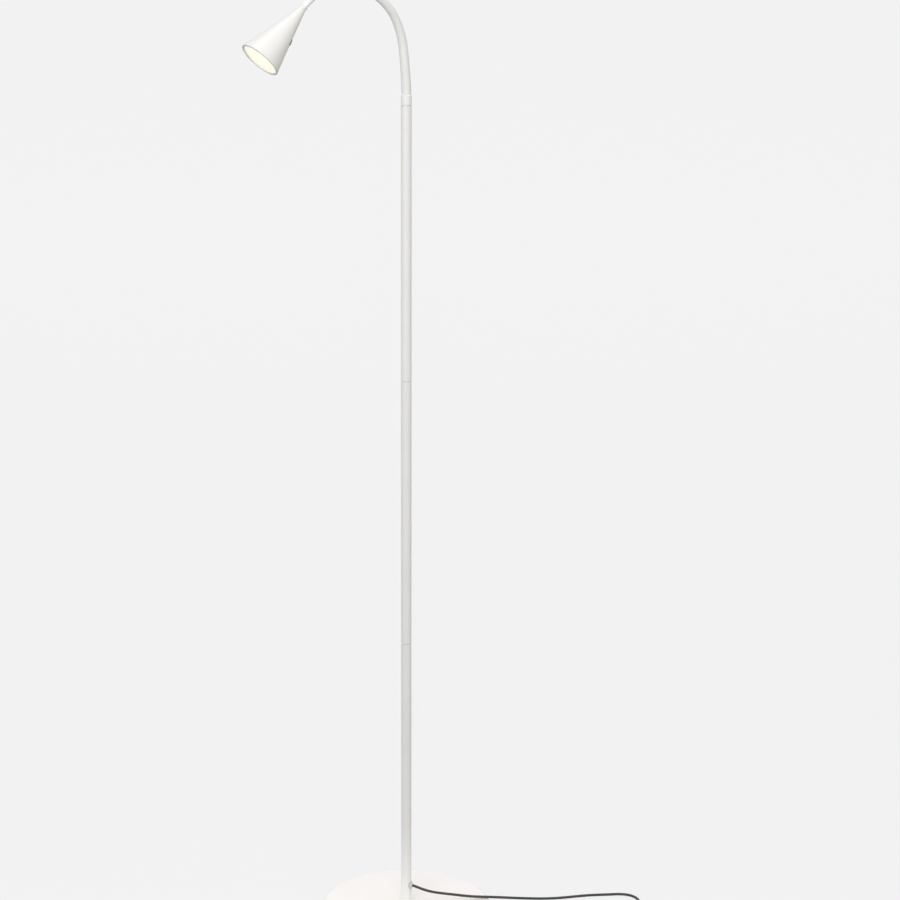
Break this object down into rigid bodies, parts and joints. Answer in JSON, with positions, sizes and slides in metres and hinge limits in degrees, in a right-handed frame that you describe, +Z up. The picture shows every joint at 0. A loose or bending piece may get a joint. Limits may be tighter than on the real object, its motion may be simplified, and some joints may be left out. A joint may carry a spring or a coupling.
{
  "type": "gooseneck reading floor lamp",
  "caption": "Slim reading floor lamp: round weighted base, screwed tube pole, flexible neck arching over to a small cone head with a push button, low-voltage lead with plug-in driver.",
  "frame": {"origin": "centre of the base's underside, on the floor", "axes": "+Z up along the pole, the neck arches towards -X in the XZ plane, +Y completes a right-handed frame"},
  "size_m": [0.6158, 0.3891, 1.5061],
  "materials": {
    "white_paint": "satin",
    "neck_skin": "satin",
    "pad_rubber": "matte",
    "casting": "rough",
    "steel": "satin",
    "frosted_lens": "frosted",
    "ring_grey": "satin",
    "reflector_white": "gloss",
    "sink_aluminium": "satin",
    "board_white": "satin",
    "chip_yellow": "gloss",
    "gland_grey": "satin",
    "switch_grey": "satin",
    "cord_grey": "satin",
    "plug_grey": "satin",
    "board_green": "satin",
    "transformer_tape": "matte"
  },
  "bodies": {
    "stand": {"base_pad": "pad_rubber", "bolt_cap": "pad_rubber", "base_weight": "casting", "base_cover": "white_paint", "base_bolt": "steel", "base_washer": "steel", "foot_socket": "steel", "lower_tube": "white_paint", "lower_joint_stud": "steel", "lower_joint_socket": "steel", "middle_tube": "white_paint", "upper_joint_stud": "steel", "upper_joint_socket": "steel", "upper_tube": "white_paint", "neck_joint_stud": "steel", "neck_ferrule": "white_paint", "cord_gland": "gland_grey", "pole_lead": "cord_grey", "neck_sleeve_0": "neck_skin", "neck_core_0": "steel", "cord": "cord_grey", "cord_coil": "cord_grey", "cord_tie": "plug_grey", "cord_tail": "cord_grey", "plug_relief": "plug_grey", "plug_base": "plug_grey", "plug_cover": "plug_grey", "plug_pins": "steel", "plug_board": "board_green", "plug_transformer": "transformer_tape"},
    "link_1": {"neck_sleeve_1": "neck_skin", "neck_core_1": "steel"},
    "link_2": {"neck_sleeve_2": "neck_skin", "neck_core_2": "steel"},
    "link_3": {"neck_sleeve_3": "neck_skin", "neck_core_3": "steel"},
    "link_4": {"neck_sleeve_4": "neck_skin", "neck_core_4": "steel"},
    "link_5": {"neck_sleeve_5": "neck_skin", "neck_core_5": "steel"},
    "link_6": {"neck_sleeve_6": "neck_skin", "neck_core_6": "steel"},
    "head": {"neck_sleeve_7": "neck_skin", "neck_core_7": "steel", "head_collar": "white_paint", "shade": "white_paint", "core_nut": "steel", "lens_ring": "ring_grey", "lens": "frosted_lens", "reflector": "reflector_white", "heat_sink": "sink_aluminium", "light_board": "board_white", "light_chips": "chip_yellow", "board_screws": "steel", "head_lead": "cord_grey", "switch_bezel": "switch_grey", "switch_body": "switch_grey"},
    "switch_button": {"switch_button": "switch_grey"}
  },
  "joints": [
    {"name": "neck_bend_1", "type": "hinge", "parent": "stand", "child": "link_1", "pos_m": [-0.00087, 0, 1.34908], "axis": [0, -1, 0], "range_deg": [-27, 18]},
    {"name": "neck_swing_1", "type": "hinge", "parent": "link_1", "child": "link_2", "pos_m": [-0.0051, 0, 1.39307], "axis": [0.9936, 0, 0.1132], "range_deg": [-25, 25]},
    {"name": "neck_bend_2", "type": "hinge", "parent": "link_2", "child": "link_3", "pos_m": [-0.01687, 0, 1.43549], "axis": [0, -1, 0], "range_deg": [-27, 18]},
    {"name": "neck_bend_3", "type": "hinge", "parent": "link_3", "child": "link_4", "pos_m": [-0.0434, 0, 1.47038], "axis": [0, -1, 0], "range_deg": [-27, 18]},
    {"name": "neck_bend_4", "type": "hinge", "parent": "link_4", "child": "link_5", "pos_m": [-0.08108, 0, 1.49316], "axis": [0, -1, 0], "range_deg": [-27, 18]},
    {"name": "neck_swing_2", "type": "hinge", "parent": "link_5", "child": "link_6", "pos_m": [-0.12427, 0, 1.50077], "axis": [-0.0401, 0, 0.9992], "range_deg": [-25, 25]},
    {"name": "neck_bend_5", "type": "hinge", "parent": "link_6", "child": "head", "pos_m": [-0.16583, 0, 1.48739], "axis": [0, -1, 0], "range_deg": [-27, 18]},
    {"name": "button_press", "type": "slide", "parent": "head", "child": "switch_button", "axis": [-0.5882, 0.7611, 0.2735], "range_m": [0, 0.001], "stiffness_N_per_m": 900, "springref_m": -0.0006}
  ]
}
